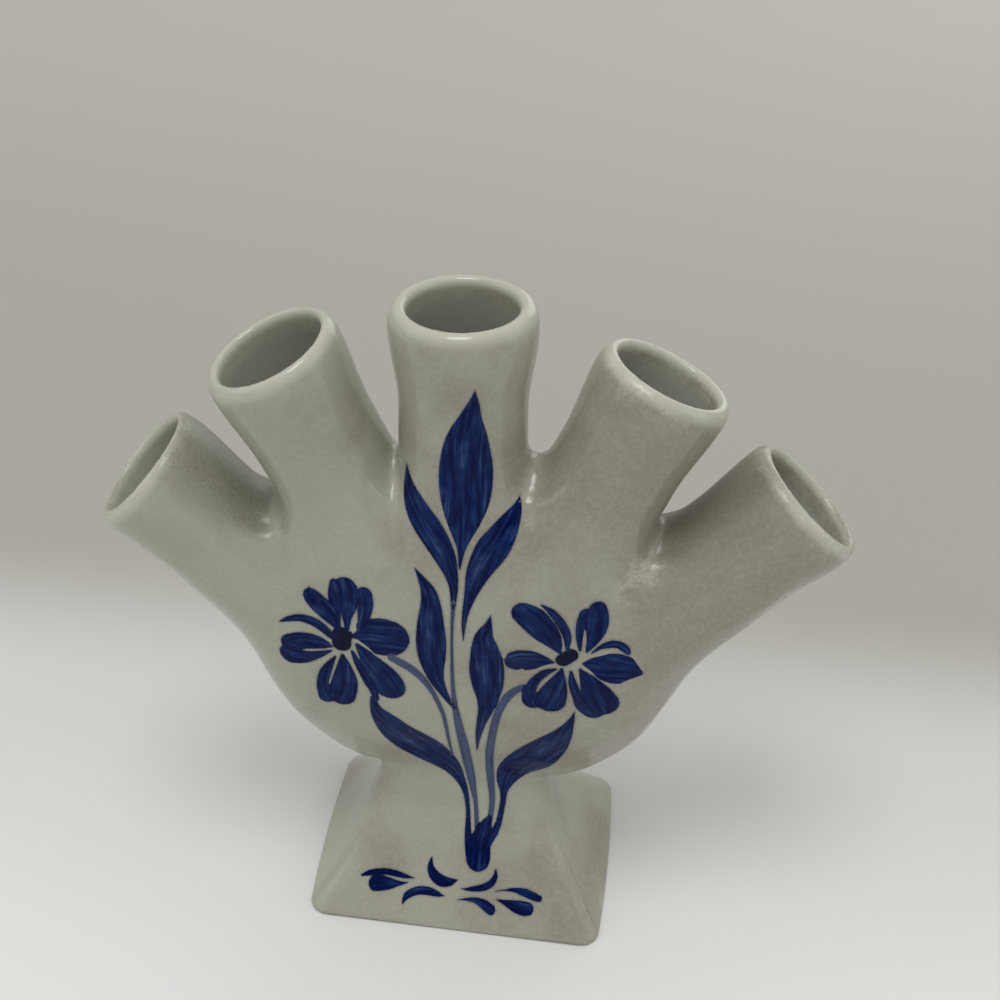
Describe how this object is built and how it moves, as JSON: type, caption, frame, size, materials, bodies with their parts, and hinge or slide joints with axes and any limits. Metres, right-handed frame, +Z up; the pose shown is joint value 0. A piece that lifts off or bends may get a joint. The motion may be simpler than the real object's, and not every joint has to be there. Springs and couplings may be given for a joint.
{
  "type": "quintal vase",
  "caption": "Fan-shaped flower vase of grey glazed stoneware: tubular spouts spread like fingers from a flat body on a flared, hollow foot.",
  "frame": {"origin": "on the table, under the middle of the foot", "axes": "+Z up, +X to the right along the fan of spouts, the decorated front faces -Y"},
  "size_m": [0.1616, 0.054, 0.1565],
  "materials": {
    "glazed_stoneware": "grey salt-style glaze, glossy, with fine mottling",
    "cobalt_brushwork": "cobalt blue brushwork under the glaze"
  },
  "bodies": {
    "root": {"foot": "glazed_stoneware", "body_front": "glazed_stoneware", "body_back": "glazed_stoneware", "spout_far_left": "glazed_stoneware", "spout_left": "glazed_stoneware", "spout_centre": "glazed_stoneware", "spout_right": "glazed_stoneware", "spout_far_right": "glazed_stoneware", "crotch_coil_far_left": "glazed_stoneware", "crotch_coil_left": "glazed_stoneware", "crotch_coil_right": "glazed_stoneware", "crotch_coil_far_right": "glazed_stoneware"}
  },
  "joints": []
}
